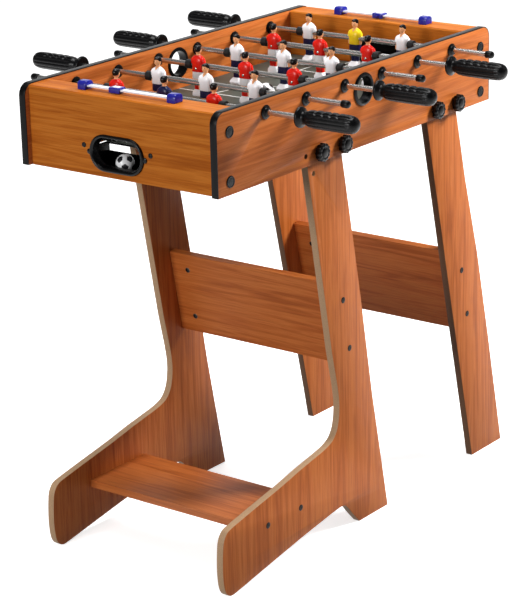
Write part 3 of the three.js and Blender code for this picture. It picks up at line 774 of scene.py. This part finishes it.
def score_slider(y):
    p, x, z = Piece(), 38, 799.8
    ring = [(x - 8, z + 1.6), (x + 8, z + 1.6), (x + 8, z + 8.4), (x + 6.6, z + 9.8), (x - 6.6, z + 9.8), (x - 8, z + 8.4)]
    slot_hole = [(x - 5.8, z + 4.3), (x - 5.8, z + 7.3), (x + 5.8, z + 7.3), (x + 5.8, z + 4.3)]
    p.board(ring, y - 11, y + 11, BLUE, [slot_hole], bevel=0.5)
    p.board([(x - 4.6, y - 6.6), (x + 4.6, y - 6.6), (x + 4.6, y + 6.6), (x - 4.6, y + 6.6)], z + 9.5, z + 10.3, STRIP, plane="XY", bevel=0.2)
    p.board([(x + 7.6, y - 4.5), (x + 7.6, y + 4.5), (x + 13.5, y)], z + 2.4, z + 7.6, BLUE, plane="XY", bevel=0.4)
    return p


for nm, far, y in (("near", False, 25), ("far", True, 6)):
    flip(score_bar(), far).make(f"{nm}_score_counter", "cabinet", [f"{nm}_score_bar"], "score_white")
    flip(score_slider(y), far).make(f"{nm}_score_marker", f"{nm}_score", [f"{nm}_score_slider"], "score_blue")


# ---------------------------------------------------------------- balls
def ball_piece(x, y, z, turn):
    """A white ball with twelve dark five-sided patches."""
    r = 15.5
    bm = bmesh.new()
    bmesh.ops.create_icosphere(bm, subdivisions=5, radius=r)
    g = (1 + 5**0.5) / 2
    dirs = [Vector(d).normalized() for d in ((0, 1, g), (0, -1, g), (0, 1, -g), (0, -1, -g), (1, g, 0), (-1, g, 0), (1, -g, 0), (-1, -g, 0), (g, 0, 1), (-g, 0, 1), (g, 0, -1), (-g, 0, -1))]
    rot = Matrix.Rotation(turn, 3, Vector((0.4, 0.5, 0.76)).normalized())
    dirs = [rot @ d for d in dirs]
    p = Piece()
    white, dark = p.mat(BALL_WHITE), p.mat(BALL_DARK)
    p.v = [(x + q.co.x, y + q.co.y, z + q.co.z) for q in bm.verts]
    for f in bm.faces:
        c = f.calc_center_median().normalized()
        best = max(dirs, key=lambda d: d.dot(c))
        others = sorted(dirs, key=lambda d: -d.dot(best))[1:6]
        # five-sided patch: inside when every neighbour's direction is far enough
        inside = all((c - best).dot((o - best).normalized()) < 0.305 for o in others)
        p.f.append(tuple(v.index for v in f.verts))
        p.m.append(dark if inside else white)
    bm.free()
    return p


ball_piece(389, 0, 735.15, 0.35).make("ball_in_play_patched", "play_ball", ["ball_in_play"], "ball_white", angle=80)
ball_piece(36.4, 13, 688.15, 1.1).make("ball_in_cup_patched", "cup_ball", ["ball_in_cup"], "ball_white", angle=80)


# ---------------------------------------------------------------- stage, light and camera
def stage_mesh(name, verts, faces, material):
    me = bpy.data.meshes.new(name)
    me.from_pydata(verts, [], faces)
    me.materials.append(material)
    for q in me.polygons:
        q.use_smooth = True
    ob = bpy.data.objects.new(name, me)
    bpy.context.scene.collection.objects.link(ob)
    return ob


FLOOR = plastic("pale_floor", (0.86, 0.86, 0.86), 0.9, bump_size=3, strength=0.0, spec=0.1, tint=0.995)
FLOOR.node_tree.nodes["Principled BSDF"].inputs["Emission Color"].default_value = (1, 1, 1, 1)
FLOOR.node_tree.nodes["Principled BSDF"].inputs["Emission Strength"].default_value = 0.72
floor = stage_mesh("floor", [(-14, -14, -0.0005), (14, -14, -0.0005), (14, 14, -0.0005), (-14, 14, -0.0005)], [(0, 1, 2, 3)], FLOOR)
floor.visible_diffuse = False


def area(name, at, target, size, energy, color=(1, 1, 1)):
    data = bpy.data.lights.new(name, "AREA")
    data.shape, data.size, data.energy, data.color = "SQUARE", size, energy, color
    ob = bpy.data.objects.new(name, data)
    bpy.context.scene.collection.objects.link(ob)
    ob.location = at
    ob.rotation_euler = (Vector(target) - Vector(at)).to_track_quat("-Z", "Y").to_euler()
    return ob


area("key", (1.5, -1.35, 1.75), (0.1, -0.1, 0.5), 0.6, 84).visible_glossy = False
# the key's shine, weaker than its light, so that no board facing up at a low angle burns out
area("key_shine", (1.5, -1.35, 1.75), (0.1, -0.1, 0.5), 0.6, 18).visible_diffuse = False
area("left", (-4.0, 0.45, 1.8), (0, 0, 0.6), 1.4, 92)
area("top", (0.0, 0.2, 3.4), (0, 0, 0.7), 1.6, 78)
area("back_card", (3.7, 2.9, 2.1), (0, 0, 0.6), 2.4, 22)
world = bpy.data.worlds.new("studio")
world.use_nodes = True
world.node_tree.nodes["Background"].inputs[0].default_value = (1, 1, 1, 1)
world.node_tree.nodes["Background"].inputs[1].default_value = 0.16
bpy.context.scene.world = world
bpy.context.scene.view_settings.view_transform = "Standard"

cam_data = bpy.data.cameras.new("camera")
cam_data.sensor_width = 36
cam_data.lens = 2308.81 / 600 * 36
cam_data.clip_end = 60
cam = bpy.data.objects.new("camera", cam_data)
bpy.context.scene.collection.objects.link(cam)
right = Vector((0.60075485, -0.79907547, -0.02391659))
down = Vector((-0.26165347, -0.16826913, -0.95038043))
fwd = Vector((0.75540127, 0.57720351, -0.31016936))
m = Matrix((right, -down, -fwd)).transposed().to_4x4()
m.translation = P(-2638.56, -2294.76, 1606.97)
cam.matrix_world = m
bpy.context.scene.camera = cam
